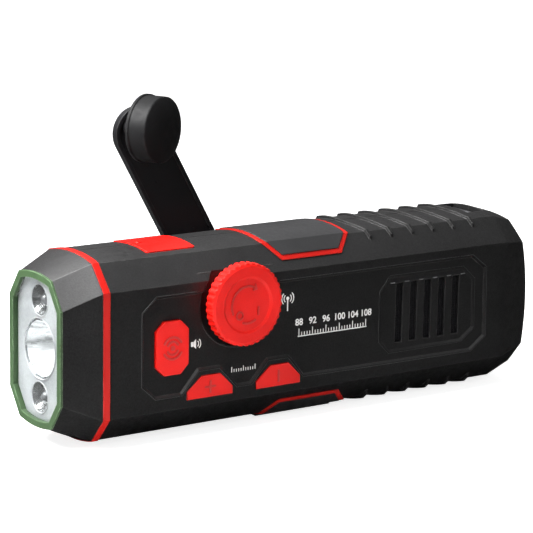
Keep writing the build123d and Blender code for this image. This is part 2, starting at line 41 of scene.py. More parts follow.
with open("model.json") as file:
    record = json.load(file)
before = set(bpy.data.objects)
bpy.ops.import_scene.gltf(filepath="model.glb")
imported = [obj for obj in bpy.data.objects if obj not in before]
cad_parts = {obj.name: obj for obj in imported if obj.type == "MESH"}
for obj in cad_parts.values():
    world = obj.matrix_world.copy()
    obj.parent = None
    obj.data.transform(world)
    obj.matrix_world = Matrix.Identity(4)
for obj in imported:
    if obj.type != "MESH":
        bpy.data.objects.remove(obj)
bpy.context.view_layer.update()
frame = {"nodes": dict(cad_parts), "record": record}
nodes = frame["nodes"]
slot_of = {part["node"]: part["material_slot"] for part in frame["record"]["subparts"]}


def corners(node):
    """Lowest and highest corner of a CAD piece."""
    low, high = (Vector(corner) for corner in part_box(node))
    return low, high


BOWL_Z = (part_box("reflector")[0][2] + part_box("reflector")[1][2]) / 2


# ------------------------------------------------------------------ shader tools
class Graph:
    """Short ways to add and wire shader nodes in one tree."""

    def __init__(self, tree):
        self.tree = tree

    def wire(self, node, inputs):
        """Links sockets and sets plain values, keyed by input name or index."""
        for key, value in inputs.items():
            if isinstance(value, bpy.types.NodeSocket):
                self.tree.links.new(value, node.inputs[key])
            else:
                node.inputs[key].default_value = value

    def node(self, kind, inputs=None, **settings):
        node = self.tree.nodes.new("ShaderNode" + kind)
        for key, value in settings.items():
            setattr(node, key, value)
        self.wire(node, inputs or {})
        return node

    def coords(self):
        return self.node("TexCoord").outputs["Object"]

    def noise(self, vector, scale, detail=3.0, rough=0.5):
        inputs = {"Scale": scale, "Detail": detail, "Roughness": rough, "Vector": vector}
        return self.node("TexNoise", inputs).outputs["Fac"]

    def remap(self, value, span, to=(0.0, 1.0)):
        """Maps the range span onto the range to, clamped."""
        inputs = {0: value, 1: span[0], 2: span[1], 3: to[0], 4: to[1]}
        return self.node("MapRange", inputs).outputs[0]

    def math(self, operation, a, b, clamp=False):
        return self.node("Math", {0: a, 1: b}, operation=operation, use_clamp=clamp).outputs[0]

    def mix_colour(self, factor, a, b):
        a, b = ((*c, 1) if isinstance(c, tuple) else c for c in (a, b))
        # inputs 6 and 7 are the colour pair
        return self.node("Mix", {0: factor, 6: a, 7: b}, data_type="RGBA").outputs[2]

    def mix_float(self, factor, a, b):
        # inputs 2 and 3 are the float pair
        return self.node("Mix", {0: factor, 2: a, 3: b}, data_type="FLOAT").outputs[0]

    def mix_shader(self, factor, a, b):
        return self.node("MixShader", {0: factor, 1: a, 2: b}).outputs[0]

    def bump(self, height, strength, distance, **inputs):
        inputs.update(Height=height, Strength=strength, Distance=distance)
        return self.node("Bump", inputs).outputs[0]


def start_material(name):
    """A material with a Principled shader wired to its output."""
    material = bpy.data.materials.new(name)
    material.use_nodes = True
    material.node_tree.nodes.clear()
    graph = Graph(material.node_tree)
    output = graph.node("OutputMaterial")
    shader = graph.node("BsdfPrincipled")
    graph.wire(output, {0: shader.outputs[0]})
    return material, graph, shader, output


def shade(colour, gain, lift=0.0):
    return tuple(min(1.0, c * gain + lift) for c in colour)


# ------------------------------------------------------------------ materials
def moulded(name, base, wear_and_highlight_colour, rough=0.42, grain=0.00028, bump=0.12, edge=0.0005, wear_and_highlight=0.35,
            spec=0.5, metallic=0.0, coat=0.0, sss=0.0, smudge=0.10, speck=0.22, depth=0.00012):
    """Moulded or plated surface: fine grain, slow colour drift, smudges, and edges tinted partly
    as wear and partly as a painted highlight.

    grain, edge and depth are in metres: grain size, edge radius and bump depth.
    The wear-and-highlight strength mixes the edge colour in at the edges, where it stands partly
    for rubbed wear and partly for a painted highlight; smudge is the swing in roughness and speck
    the strength of the light grains.
    """
    material, g, shader, _ = start_material(name)
    coords = g.coords()
    slow = g.noise(coords, scale=38.0, detail=2.0)
    mid = g.noise(coords, scale=420.0, detail=4.0, rough=0.6)
    fine = g.noise(coords, scale=1.0 / grain, detail=2.0, rough=0.55)

    drift = g.remap(slow, span=(0.3, 0.7))
    colour = g.mix_colour(drift, shade(base, gain=0.82), shade(base, gain=1.16, lift=0.002))
    specks = g.remap(fine, span=(0.35, 0.75), to=(0.0, speck))
    speck_colour = shade(base, gain=1.5, lift=0.004 + speck * 0.014)
    colour = g.mix_colour(specks, colour, speck_colour)

    # edges are where the rounded normal departs from the true one
    bevel = g.node("Bevel", {"Radius": edge}, samples=4).outputs[0]
    normal = g.node("NewGeometry").outputs["Normal"]
    facing = g.node("VectorMath", {0: bevel, 1: normal}, operation="DOT_PRODUCT").outputs["Value"]
    edges = g.remap(facing, span=(0.995, 0.90))
    patches = g.remap(mid, span=(0.38, 0.62), to=(0.25, 1.0))
    edges = g.math("MULTIPLY", edges, patches, clamp=True)
    edges = g.math("MULTIPLY", edges, wear_and_highlight, clamp=True)
    # painted highlight and wear: at the edges the colour moves to the edge colour, which stands
    # partly for rubbed wear and partly for light catching the rounded edges
    colour = g.mix_colour(edges, colour, wear_and_highlight_colour)

    smudges = g.remap(mid, span=(0.25, 0.75), to=(rough - smudge, rough + smudge))
    polish = g.math("MULTIPLY", edges, -0.12)
    roughness = g.math("ADD", smudges, polish)
    drift = g.remap(slow, span=(0.2, 0.8), to=(-0.04, 0.04))
    roughness = g.math("ADD", roughness, drift, clamp=True)
    if speck > 0.3:
        glints = g.remap(fine, span=(0.35, 0.7), to=(0.06, -0.05))
        roughness = g.math("ADD", roughness, glints, clamp=True)
    g.wire(shader, {
        "Base Color": colour,
        "Roughness": roughness,
        "Metallic": metallic,
        "Specular IOR Level": spec,
        "Coat Weight": coat,
        "Coat Roughness": 0.18,
        "Normal": g.bump(fine, strength=bump, distance=depth, Normal=bevel),
    })
    if sss:
        g.wire(shader, {
            "Subsurface Weight": sss,
            "Subsurface Radius": (0.004, 0.0012, 0.0008),
            "Subsurface Scale": 0.4,
        })
    return material


def brushed(name, base, rough=0.3, stretch=(1, 1, 14), scale=900.0):
    """Bare metal with noise squeezed along one axis."""
    material, g, shader, _ = start_material(name)
    coords = g.coords()
    stretched = g.node("Mapping", {"Vector": coords, "Scale": stretch}).outputs[0]
    strokes = g.noise(stretched, scale=scale, detail=5.0, rough=0.7)
    stains = g.noise(coords, scale=160.0)
    colour = g.mix_colour(g.remap(strokes, span=(0.3, 0.7)), shade(base, gain=0.8), base)
    stain_mask = g.remap(stains, span=(0.5, 0.8), to=(0, 0.35))
    g.wire(shader, {
        "Base Color": g.mix_colour(stain_mask, colour, shade(base, gain=0.6)),
        "Roughness": g.remap(strokes, span=(0.2, 0.8), to=(rough - 0.1, rough + 0.14)),
        "Metallic": 1.0,
        "Normal": g.bump(strokes, strength=0.1, distance=0.0001),
    })
    return material


def woven(name, base):
    """Cloth of crossed threads along X and Z."""
    material, g, shader, _ = start_material(name)
    coords = g.coords()
    thread = {"Scale": 330.0, "Distortion": 0.6, "Vector": coords}
    waves = [g.node("TexWave", thread, bands_direction=axis).outputs["Fac"] for axis in "XZ"]
    height = g.math("MAXIMUM", waves[0], waves[1])
    g.wire(shader, {
        "Base Color": g.mix_colour(height, shade(base, gain=0.25), shade(base, gain=1.8)),
        "Specular IOR Level": 0.12,
        "Roughness": g.remap(g.noise(coords, scale=500.0), span=(0.3, 0.7), to=(0.75, 0.98)),
        "Normal": g.bump(height, strength=0.6, distance=0.0003),
    })
    return material


def clear_lens(name):
    """Thin clear window that lets shadow and diffuse rays straight through."""
    material, g, shader, output = start_material(name)
    smears = g.noise(g.coords(), scale=260.0, detail=4.0, rough=0.6)
    g.wire(shader, {
        "Base Color": (0.97, 0.99, 0.99, 1),
        "Roughness": g.remap(smears, span=(0.45, 0.8), to=(0.015, 0.10)),
        "IOR": 1.18,
        "Transmission Weight": 1.0,
        "Coat Weight": 0.5,
        "Coat Roughness": 0.03,
    })
    rays = g.node("LightPath").outputs
    passing = g.node("BsdfTransparent", {0: (0.96, 0.98, 0.98, 1)}).outputs[0]
    soft_rays = g.math("MAXIMUM", rays["Is Shadow Ray"], rays["Is Diffuse Ray"])
    g.wire(output, {0: g.mix_shader(soft_rays, shader.outputs[0], passing)})
    return material


def chrome_facets(name):
    """Chrome with a fine cell pattern."""
    material, g, shader, _ = start_material(name)
    coords = g.coords()
    haze = g.noise(coords, scale=240.0)
    tone = g.remap(haze, span=(0.3, 0.7))
    cells = g.node("TexVoronoi", {"Scale": 620.0, "Vector": coords}).outputs["Distance"]
    g.wire(shader, {
        "Base Color": g.mix_colour(tone, (0.78, 0.80, 0.82), (0.95, 0.96, 0.97)),
        "Roughness": g.remap(haze, span=(0.3, 0.7), to=(0.10, 0.20)),
        "Metallic": 1.0,
        "Normal": g.bump(cells, strength=0.25, distance=0.0002),
    })
    return material


# Painted reflection bands in the bowl: (height across the bowl from 0 at the bottom to 1 at the
# top, grey level)
BOWL_REFLECTION_BANDS = (
    (0.0, 0.45), (0.10, 0.62), (0.16, 0.30), (0.21, 0.80), (0.38, 0.86),
    (0.47, 0.52), (0.53, 0.20), (0.57, 0.46), (0.62, 0.82), (0.76, 0.90),
    (0.80, 0.40), (0.84, 0.88), (0.90, 0.45), (0.95, 0.9), (1.0, 0.6),
)


def painted_reflection_bands(name):
    """Polished bowl with painted reflections: level grey bands and thin streaks in the base
    colour, as a deep mirror shows its surroundings.
    """
    material, g, shader, _ = start_material(name)
    coords = g.coords()
    height = g.node("SeparateXYZ", {0: coords}).outputs["Z"]
    stretched = g.node("Mapping", {"Vector": coords, "Scale": (0.22, 0.22, 1.0)}).outputs[0]
    streaks = g.noise(stretched, scale=520.0, rough=0.6)
    waver = g.noise(coords, scale=130.0, detail=2.0)
    height = g.math("ADD", height, g.remap(waver, span=(0.3, 0.7), to=(-0.0008, 0.0008)))
    mouth = (BOWL_Z - BOWL_RADIUS * MM, BOWL_Z + BOWL_RADIUS * MM)
    ramp = g.node("ValToRGB", {0: g.remap(height, span=mouth)})
    bands = ramp.color_ramp.elements
    for band, (place, grey) in zip(bands, (BOWL_REFLECTION_BANDS[0], BOWL_REFLECTION_BANDS[-1])):
        band.position = place
        band.color = (grey, grey, grey, 1)
    for place, grey in BOWL_REFLECTION_BANDS[1:-1]:
        bands.new(place).color = (grey, grey, grey * 1.01, 1)
    streak_mask = g.remap(streaks, span=(0.42, 0.68), to=(0.0, 0.4))
    g.wire(shader, {
        "Base Color": g.mix_colour(streak_mask, ramp.outputs[0], (0.35, 0.35, 0.36)),
        "Metallic": 0.35,
        "Roughness": g.remap(streaks, span=(0.3, 0.7), to=(0.20, 0.38)),
        "Normal": g.bump(streaks, strength=0.15, distance=0.0001),
    })
    return material


def floor_material():
    """Near-white floor, lifted for the camera and dark in reflections."""
    material, g, shader, output = start_material("m_floor")
    tone = g.noise(g.coords(), scale=3.0, detail=2.0)
    g.wire(shader, {
        "Base Color": g.mix_colour(tone, (0.90, 0.90, 0.90), (0.93, 0.93, 0.93)),
        "Roughness": 0.6,
        "Specular IOR Level": 0.2,
    })
    rays = g.node("LightPath").outputs
    lift = g.math("MULTIPLY", rays["Is Camera Ray"], 0.80)
    lit = g.node("Emission", {0: (1, 1, 1, 1), 1: lift}).outputs[0]
    bright = g.node("AddShader", {0: shader.outputs[0], 1: lit}).outputs[0]
    dark = g.node("BsdfDiffuse", {0: (0.05, 0.05, 0.05, 1)}).outputs[0]
    g.wire(output, {0: g.mix_shader(rays["Is Glossy Ray"], bright, dark)})
    return material


# Lighter colour at the edges of black parts: partly wear showing through, partly a painted edge
# highlight
WEAR_AND_HIGHLIGHT_BLACK = (0.095, 0.092, 0.090)

# Keyed by CAD material slot: name, base colour, edge colour (partly wear, partly painted
# highlight), then the finish
materials = {
    "black_shell": moulded(
        "m_black_shell", (0.0045, 0.0043, 0.0045), WEAR_AND_HIGHLIGHT_BLACK, rough=0.46,
        grain=0.00062, bump=0.42, wear_and_highlight=0.6, spec=0.48, speck=0.55),
    "crank_black": moulded(
        "m_crank_black", (0.006, 0.006, 0.007), WEAR_AND_HIGHLIGHT_BLACK, rough=0.36,
        grain=0.0004, bump=0.16, wear_and_highlight=0.45, spec=0.35),
    "red_trim": moulded(
        "m_red_trim", (0.36, 0.0050, 0.0024), (0.75, 0.06, 0.04), rough=0.40,
        grain=0.00035, bump=0.07, wear_and_highlight=0.30, spec=0.20, sss=0.02),
    "red_button": moulded(
        "m_red_button", (0.58, 0.0048, 0.0024), (0.85, 0.08, 0.05),
        grain=0.0003, bump=0.10, edge=0.0006, wear_and_highlight=0.30, spec=0.20, sss=0.02),
    "red_relief": moulded(
        "m_red_relief", (0.40, 0.008, 0.005), (0.7, 0.06, 0.04),
        grain=0.0003, bump=0.06, wear_and_highlight=0.3, edge=0.0002),
    "grip_rubber": moulded(
        "m_grip_rubber", (0.016, 0.016, 0.017), (0.06, 0.06, 0.062), rough=0.5,
        grain=0.0005, bump=0.25, wear_and_highlight=0.4),
    "knob_black": moulded(
        "m_knob_black", (0.0062, 0.0062, 0.0066), (0.05, 0.05, 0.052), rough=0.46,
        grain=0.0007, bump=0.25, edge=0.0012, wear_and_highlight=0.4, spec=0.13),
    "glow_green": moulded(
        "m_glow_green", (0.034, 0.066, 0.027), (0.22, 0.34, 0.19), rough=0.34,
        grain=0.0011, bump=0.05, edge=0.00055, wear_and_highlight=0.9, spec=0.35, coat=0.12, smudge=0.04),
    "clear_lens": clear_lens("m_clear_lens"),
    "reflector_chrome": chrome_facets("m_reflector"),
    "bowl_bright": painted_reflection_bands("m_bowl_painted_reflection"),
    "plate_silver": moulded(
        "m_plate_silver", (0.37, 0.374, 0.38), (0.7, 0.7, 0.72), rough=0.40,
        grain=0.0008, bump=1.0, metallic=0.30, wear_and_highlight=0.3, smudge=0.14, depth=0.0002),
    "cup_dark": moulded(
        "m_cup_dark", (0.24, 0.24, 0.242), (0.7, 0.7, 0.7), rough=0.22,
        grain=0.0010, bump=1.0, metallic=0.8),
    "dome_smoke": moulded(
        "m_dome_smoke", (0.16, 0.16, 0.165), (0.5, 0.5, 0.5), rough=0.10,
        grain=0.0008, bump=0.25, metallic=0.4, coat=0.8, smudge=0.05),
    "led_yellow": moulded(
        "m_led_phosphor", (0.9, 0.78, 0.2), (1, 0.9, 0.5), rough=0.3, grain=0.0002),
    "led_clear": moulded(
        "m_led_clear", (0.75, 0.78, 0.8), (0.9, 0.9, 0.9), rough=0.15,
        grain=0.0004, bump=0.02, coat=0.6),
    "board_green": moulded(
        "m_board", (0.02, 0.16, 0.06), (0.2, 0.4, 0.2), rough=0.35,
        grain=0.0004, bump=0.1, coat=0.3),
    "steel": brushed("m_steel", (0.62, 0.62, 0.63), rough=0.28),
    "nickel": brushed("m_nickel", (0.70, 0.69, 0.66), rough=0.25),
    "pot_body": brushed("m_pot", (0.55, 0.55, 0.56), rough=0.32),
    "gen_case": brushed("m_gen_case", (0.60, 0.60, 0.61), rough=0.35),
    "black_cloth": woven("m_cloth", (0.0045, 0.0045, 0.005)),
    "basket_steel": moulded(
        "m_basket", (0.05, 0.05, 0.055), (0.3, 0.3, 0.3), rough=0.4, metallic=0.6),
    "cone_paper": moulded(
        "m_cone", (0.035, 0.032, 0.03), (0.07, 0.065, 0.06), rough=0.85,
        grain=0.0009, bump=0.5),
    "magnet": moulded(
        "m_magnet", (0.09, 0.09, 0.095), (0.3, 0.3, 0.3), rough=0.45, metallic=0.5),
    "switch_body": moulded("m_switch", (0.02, 0.02, 0.02), WEAR_AND_HIGHLIGHT_BLACK, rough=0.35),
    "sounder_black": moulded("m_sounder", (0.018, 0.018, 0.018), WEAR_AND_HIGHLIGHT_BLACK, rough=0.3),
    "battery_wrap": moulded(
        "m_battery", (0.03, 0.13, 0.42), (0.3, 0.4, 0.6), rough=0.25,
        grain=0.002, bump=0.05, coat=0.5),
    "ferrite": moulded(
        "m_ferrite", (0.06, 0.06, 0.062), (0.2, 0.2, 0.2), rough=0.6, grain=0.0004, bump=0.3),
    "copper_wire": brushed(
        "m_copper", (0.75, 0.33, 0.12), rough=0.3, stretch=(30, 1, 1), scale=500.0),
    "gear_white": moulded(
        "m_gear", (0.72, 0.70, 0.62), (0.85, 0.84, 0.8), rough=0.45, grain=0.0004, sss=0.1),
    "plate_black": moulded("m_plate", (0.025, 0.025, 0.026), WEAR_AND_HIGHLIGHT_BLACK, rough=0.5),
}
print_white = moulded(
    "m_pad_print", (0.62, 0.62, 0.61), (0.5, 0.5, 0.5), rough=0.55,
    grain=0.00025, bump=0.1, edge=0.00005, wear_and_highlight=0.1)
# dark for the parting seam between the shells, and painted shade along the panel and grille edges
seam_and_edge_shade = moulded(
    "m_seam_and_painted_shade", (0.002, 0.002, 0.002), (0.01, 0.01, 0.01), rough=0.7, edge=0.00005)
# grey of the rear plate, also the painted highlight on the grille bar tips
label_and_glint_grey = moulded(
    "m_label_and_painted_glint", (0.10, 0.10, 0.105), (0.2, 0.2, 0.2), rough=0.5, grain=0.0005)
bar_gunmetal = brushed("m_bar_gunmetal", (0.23, 0.23, 0.24), rough=0.34)
# painted highlight lines beside the panel, grille and dial-groove edges
painted_edge_highlight = moulded(
    "m_painted_edge_highlight", (0.045, 0.045, 0.046), (0.09, 0.09, 0.09), rough=0.35,
    edge=0.00005, spec=0.6)


# ------------------------------------------------------------------ CAD pieces
def paint_reflector(mesh):
    """Silver on the flat face at the -X end, dark in the two small cups."""
    face_depth = 0.0002
    cup_reach = 0.0058
    face_x = min(vertex.co.x for vertex in mesh.vertices)
    mesh.materials.append(materials["plate_silver"])
    mesh.materials.append(materials["cup_dark"])
    for polygon in mesh.polygons:
        centre = polygon.center
        cup_distance = abs(abs(centre.z - BOWL_Z) - SMALL_LAMP_OFFSET)
        if abs(polygon.normal.x) > 0.98 and centre.x < face_x + face_depth:
            polygon.material_index = 1
        elif cup_distance < cup_reach and abs(centre.y) < cup_reach:
            polygon.material_index = 2


for name, ob in nodes.items():
    ob.data.materials.clear()
    ob.data.materials.append(
        bar_gunmetal if name == "lanyard_bar" else materials[slot_of[name]])
    for polygon in ob.data.polygons:
        polygon.material_index = 0
        polygon.use_smooth = True
    if name == "reflector":
        paint_reflector(ob.data)
    ob.modifiers.new("weld", "WELD").merge_threshold = 1e-6
    split = ob.modifiers.new("split", "EDGE_SPLIT")
    split.split_angle = math.radians(24)
    split.use_edge_sharp = False


# ------------------------------------------------------------------ object tools
def add_object(name, data, material):
    ob = bpy.data.objects.new(name, data)
    bpy.context.scene.collection.objects.link(ob)
    data.materials.append(material)
    return ob


def attach(ob, body="radio_body", slot="black_shell"):
    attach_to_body(ob, body)


def add_mesh(name, bm, material, smooth=False, **owner):
    """Turns a bmesh into an object; owner is the body for attach, and a slot that is not used."""
    mesh = bpy.data.meshes.new(name)
    bmesh.ops.recalc_face_normals(bm, faces=bm.faces)
    bm.to_mesh(mesh)
    bm.free()
    ob = add_object(name, mesh, material)
    for polygon in mesh.polygons:
        polygon.use_smooth = smooth
    if smooth:
        ob.modifiers.new("split", "EDGE_SPLIT").split_angle = math.radians(35)
    attach(ob, **owner)


def add_prism(bm, outline, origin, right, height):
    """A prism over an outline in mm on (right, Z), rising height mm along right x Z."""
    out = right.cross(Z)
    base = [bm.verts.new(origin + (right * u + Z * v) * MM) for u, v in outline]
    top = [bm.verts.new(origin + (right * u + Z * v + out * height) * MM) for u, v in outline]
    bm.faces.new(top)
    bm.faces.new(list(reversed(base)))
    count = len(outline)
    for i in range(count):
        j = (i + 1) % count
        bm.faces.new((base[i], base[j], top[j], top[i]))


def add_relief(name, groups, height, material, right=X, **owner):
    """One mesh of prisms; groups are (origin, outlines) and the rise is height mm."""
    bm = bmesh.new()
    for origin, outlines in groups:
        for outline in outlines:
            add_prism(bm, outline, origin, right, height)
    add_mesh(name, bm, material, **owner)


def add_tube(name, points, radius, material):
    curve = bpy.data.curves.new(name, "CURVE")
    curve.dimensions = "3D"
    curve.bevel_depth = radius
    curve.bevel_resolution = 2
    spline = curve.splines.new("POLY")
    spline.points.add(len(points) - 1)
    for spline_point, point in zip(spline.points, points):
        spline_point.co = (*point, 1)
    attach(add_object(name, curve, material))


# ------------------------------------------------------------------ outlines, in mm
def on_circle(radius, angle, centre=(0, 0)):
    return (centre[0] + radius * math.cos(angle), centre[1] + radius * math.sin(angle))


def disc(radius, count=28, centre=(0, 0)):
    return [on_circle(radius, 2 * math.pi * i / count, centre) for i in range(count)]


def arc_band(radius, width, start, end, steps=24, centre=(0, 0)):
    """Round-ended band along an arc; start and end in degrees, start < end."""
    def edge(edge_radius, first, last):
        return [on_circle(edge_radius, math.radians(first + (last - first) * i / steps), centre)
                for i in range(steps + 1)]

    def cap(degrees, first_angle):
        middle = on_circle(radius, math.radians(degrees), centre)
        return [on_circle(width / 2, first_angle + math.pi * j / 5, middle)
                for j in range(1, 5)]

    return (edge(radius + width / 2, start, end) + cap(end, math.radians(end))
            + edge(radius - width / 2, end, start) + cap(start, math.radians(start) + math.pi))


def rounded_box(x, z, width, height, corner, steps=5):
    outline = []
    for side_x, side_z, start in ((1, 1, 0), (-1, 1, 90), (-1, -1, 180), (1, -1, 270)):
        centre = (x + side_x * (width / 2 - corner), z + side_z * (height / 2 - corner))
        outline += [on_circle(corner, math.radians(start + 90 * i / steps), centre)
                    for i in range(steps + 1)]
    return outline


def tick_row(count, start, pitch, width, long, short, corner, z=0):
    """Ticks with level lower ends, every fifth one long."""
    ticks = []
    for i in range(count):
        height = long if i % 5 == 0 else short
        ticks.append(rounded_box(start + i * pitch, z + (height - long) / 2,
                                 width, height, corner))
    return ticks


def grown(outline, distance):
    """Closed outline moved outwards."""
    following = outline[1:] + outline[:1]
    area = sum(a[0] * b[1] - b[0] * a[1] for a, b in zip(outline, following))
    sign = 1.0 if area > 0 else -1.0
    moved = []
    for i, (x, z) in enumerate(outline):
        before, after = outline[i - 1], following[i]
        edge_in = Vector((x - before[0], z - before[1])).normalized()
        edge_out = Vector((after[0] - x, after[1] - z)).normalized()
        normal_in = Vector((edge_in.y, -edge_in.x)) * sign
        normal_out = Vector((edge_out.y, -edge_out.x)) * sign
        mitre = (normal_in + normal_out) / (1.0 + normal_in.dot(normal_out))
        moved.append((x + mitre.x * distance, z + mitre.y * distance))
    return moved


def side_point(x, z, y):
    """A control-side point: x, z in mm in the drawing frame, y in metres."""
    return Vector(((x - SIDE_X) * MM, y, (z + SIDE_Z) * MM))


# ------------------------------------------------------------------ control marks
def on_face(node, z=None, sink=0.0):
    """Middle of a control's -Y face, or the point at height z; sink moves it towards +Y."""
    low, high = corners(node)
    return Vector(((low.x + high.x) / 2, low.y + sink, (low.z + high.z) / 2 if z is None else z))


def siren_mark():
    """A dot between two pairs of sound arcs."""
    outlines = [disc(radius=0.9)]
    for radius in (2.3, 3.9):
        for start, end in ((28, 152), (208, 332)):
            outlines.append(arc_band(radius, 0.75, start, end))
    add_relief("siren_relief", [(on_face("siren_button"), outlines)], 0.28,
               materials["red_relief"], body="siren_key", slot="red_button")


def tuning_marks():
    """An upright bar on each key, with side arms making a plus on the up key."""
    mark_z = 0.0182
    length, thickness, corner = 4.6, 0.75, 0.3
    arm_offset, arm_length = 1.36, 1.9
    bar = rounded_box(0, 0, thickness, length, corner)
    arms = [rounded_box(side * arm_offset, 0, arm_length, thickness, corner)
            for side in (1, -1)]
    for way, outlines in (("up", [bar] + arms), ("down", [bar])):
        button = "tuning_%s_button" % way
        add_relief(button + "_relief", [(on_face(button, z=mark_z), outlines)], 0.22,
                   materials["red_relief"], body="tuning_%s_key" % way, slot="red_button")


def dial_marks():
    """Direction arrow, open ring and short bar on the dial's recessed face."""
    origin = on_face("volume_dial", sink=0.0006)
    height = 0.35
    radius, width = 6.6, 0.7
    head_half_width = 1.3
    head_base, head_tip = math.radians(66), math.radians(52)
    arrow = [
        arc_band(radius, width, 70, 205, steps=40),
        [on_circle(radius - head_half_width, head_base),
         on_circle(radius, head_tip),
         on_circle(radius + head_half_width, head_base)],
        arc_band(radius, width, 255, 300, steps=20),
    ]
    ring_and_bar = [
        arc_band(1.35, 0.6, 0, 330, steps=26, centre=(-3.2, -3.6)),
        rounded_box(4.6, -2.6, 0.7, 3.2, corner=0.3),
    ]
    for name, outlines in (("dial_arrow", arrow), ("dial_marks", ring_and_bar)):
        add_relief(name, [(origin, outlines)], height, materials["red_relief"],
                   body="dial", slot="red_button")


# Printed marks lie on the recessed panel floor
PANEL_Y = corners("front_shell")[0].y + 0.0008
SCALE_X = 111.0           # mm, middle of the frequency scale
SCALE_PITCH = 1.2
SCALE_STEPS = 25
SCALE_START = -SCALE_PITCH * SCALE_STEPS / 2


def printed_marks():
    loudspeaker = [
        rounded_box(-1.25, 0, 0.9, 1.7, corner=0.12),
        [(-0.7, -0.7), (0.35, -1.75), (0.35, 1.75), (-0.7, 0.7)],
    ]
    for radius in (1.35, 2.2):
        loudspeaker.append(arc_band(radius, 0.3, -42, 42, steps=10, centre=(0.1, 0)))

    mast_top = (0, 1.4)
    aerial = [
        rounded_box(0, -1.1, 0.45, 4.2, corner=0.1),
        disc(radius=0.62, count=18, centre=mast_top),
    ]
    for radius in (1.6, 2.6):
        for start, end in ((-44, 44), (136, 224)):
            aerial.append(arc_band(radius, 0.36, start, end, steps=12, centre=mast_top))

    tuning_ticks = tick_row(11, start=-5, pitch=1, width=0.26, long=1.9, short=1.1,
                            corner=0.05)
    scale = tick_row(SCALE_STEPS + 1, start=SCALE_START, pitch=SCALE_PITCH, width=0.32,
                     long=2.6, short=1.3, corner=0.06, z=-1.2)
    scale.append(rounded_box(0, -2.75, 30.9, 0.36, corner=0.06))

    groups = [
        (side_point(51.6, 0.0, PANEL_Y), loudspeaker),
        (side_point(90.8, 10.4, PANEL_Y), aerial),
        (side_point(72.1, -11.3, PANEL_Y), tuning_ticks),
        (side_point(SCALE_X, 0.0, PANEL_Y), scale),
    ]
    add_relief("pad_printed_marks", groups, 0.06, print_white)


def scale_numbers():
    """One number above each long tick, turned to face -Y."""
    upright = Matrix.Rotation(math.radians(90), 4, "X")
    for i, number in enumerate(("88", "92", "96", "100", "104", "108")):
        name = "scale_number_%d" % i
        text = bpy.data.curves.new(name, "FONT")
        text.body = number
        text.size = 0.0034
        text.align_x = "CENTER"
        text.align_y = "CENTER"
        text.extrude = 0.00003
        text.offset = 0.00005
        ob = add_object(name, text, print_white)
        place = side_point(SCALE_X + SCALE_START + i * 5 * SCALE_PITCH, 2.4, PANEL_Y)
        ob.matrix_world = Matrix.Translation(place + Vector((0, -0.00004, 0))) @ upright
        attach(ob)


siren_mark()
tuning_marks()
dial_marks()
printed_marks()
scale_numbers()

# ------------------------------------------------------------------ lamp head details
PLATE_X = corners("reflector")[0].x
UPPER_Z, LOWER_Z = BOWL_Z + SMALL_LAMP_OFFSET, BOWL_Z - SMALL_LAMP_OFFSET


def around_x(x, radius, step, count, z):
    """A point on a circle about the X direction; x and z in metres, radius in mm."""
    angle = 2 * math.pi * step / count
    return (x, radius * MM * math.cos(angle), z + radius * MM * math.sin(angle))


def bowl_facets():
    """Flat-sided lining of the main bowl, narrowing towards +X."""
    sides, rows = 15, 3
    first_depth, lining_depth = 0.5, 12.0
    bowl_depth, narrowing, gap = 13.8, 7.2, 0.28
    bm = bmesh.new()
    rings = []
    for j in range(rows + 1):
        depth = first_depth + lining_depth * (j / rows)
        radius = BOWL_RADIUS - narrowing * depth / bowl_depth - gap
        rings.append([bm.verts.new(around_x(PLATE_X + depth * MM, radius, i, sides, BOWL_Z))
                      for i in range(sides)])
    for ring, deeper in zip(rings, rings[1:]):
        for i in range(sides):
            j = (i + 1) % sides
            bm.faces.new((ring[i], ring[j], deeper[j], deeper[i]))
    add_mesh("bowl_facets", bm, materials["bowl_bright"], slot="reflector_chrome")


def collar(name, z, inner):
    """Raised bright ring on the plate round a bowl mouth; inner radius in mm."""
    count = 64
    outer = inner + 0.6
    # (radius, x from the plate), both in mm
    profile = ((inner, 0.0), (inner + 0.15, -0.35), ((inner + outer) / 2, -0.5),
               (outer - 0.15, -0.35), (outer, 0.0))
    bm = bmesh.new()
    rows = [[bm.verts.new(around_x(PLATE_X + rise * MM, radius, i, count, z))
             for radius, rise in profile] for i in range(count)]
    for i, row in enumerate(rows):
        beside = rows[(i + 1) % count]
        for k in range(len(profile) - 1):
            bm.faces.new((row[k], beside[k], beside[k + 1], row[k + 1]))
    add_mesh(name, bm, materials["plate_silver"], smooth=True, slot="reflector_chrome")


def emitter_dome(name, z, radius, depth, material):
    """Sphere drawn out along X; radius in mm, depth from the plate in metres."""
    bm = bmesh.new()
    bmesh.ops.create_uvsphere(bm, u_segments=32, v_segments=16, radius=radius * MM)
    for vertex in bm.verts:
        vertex.co.x *= 1.15
        vertex.co += Vector((PLATE_X + depth, 0, z))
    add_mesh(name, bm, material, smooth=True, slot="led_clear")


bowl_facets()
collar("main_collar", BOWL_Z, inner=10.5)
collar("upper_collar", UPPER_Z, inner=5.35)
collar("lower_collar", LOWER_Z, inner=5.35)
emitter_dome("main_dome", BOWL_Z, radius=2.6, depth=0.0122, material=materials["led_clear"])
for name, z in (("upper_dome", UPPER_Z), ("lower_dome", LOWER_Z)):
    emitter_dome(name, z, radius=2.3, depth=0.0032, material=materials["dome_smoke"])

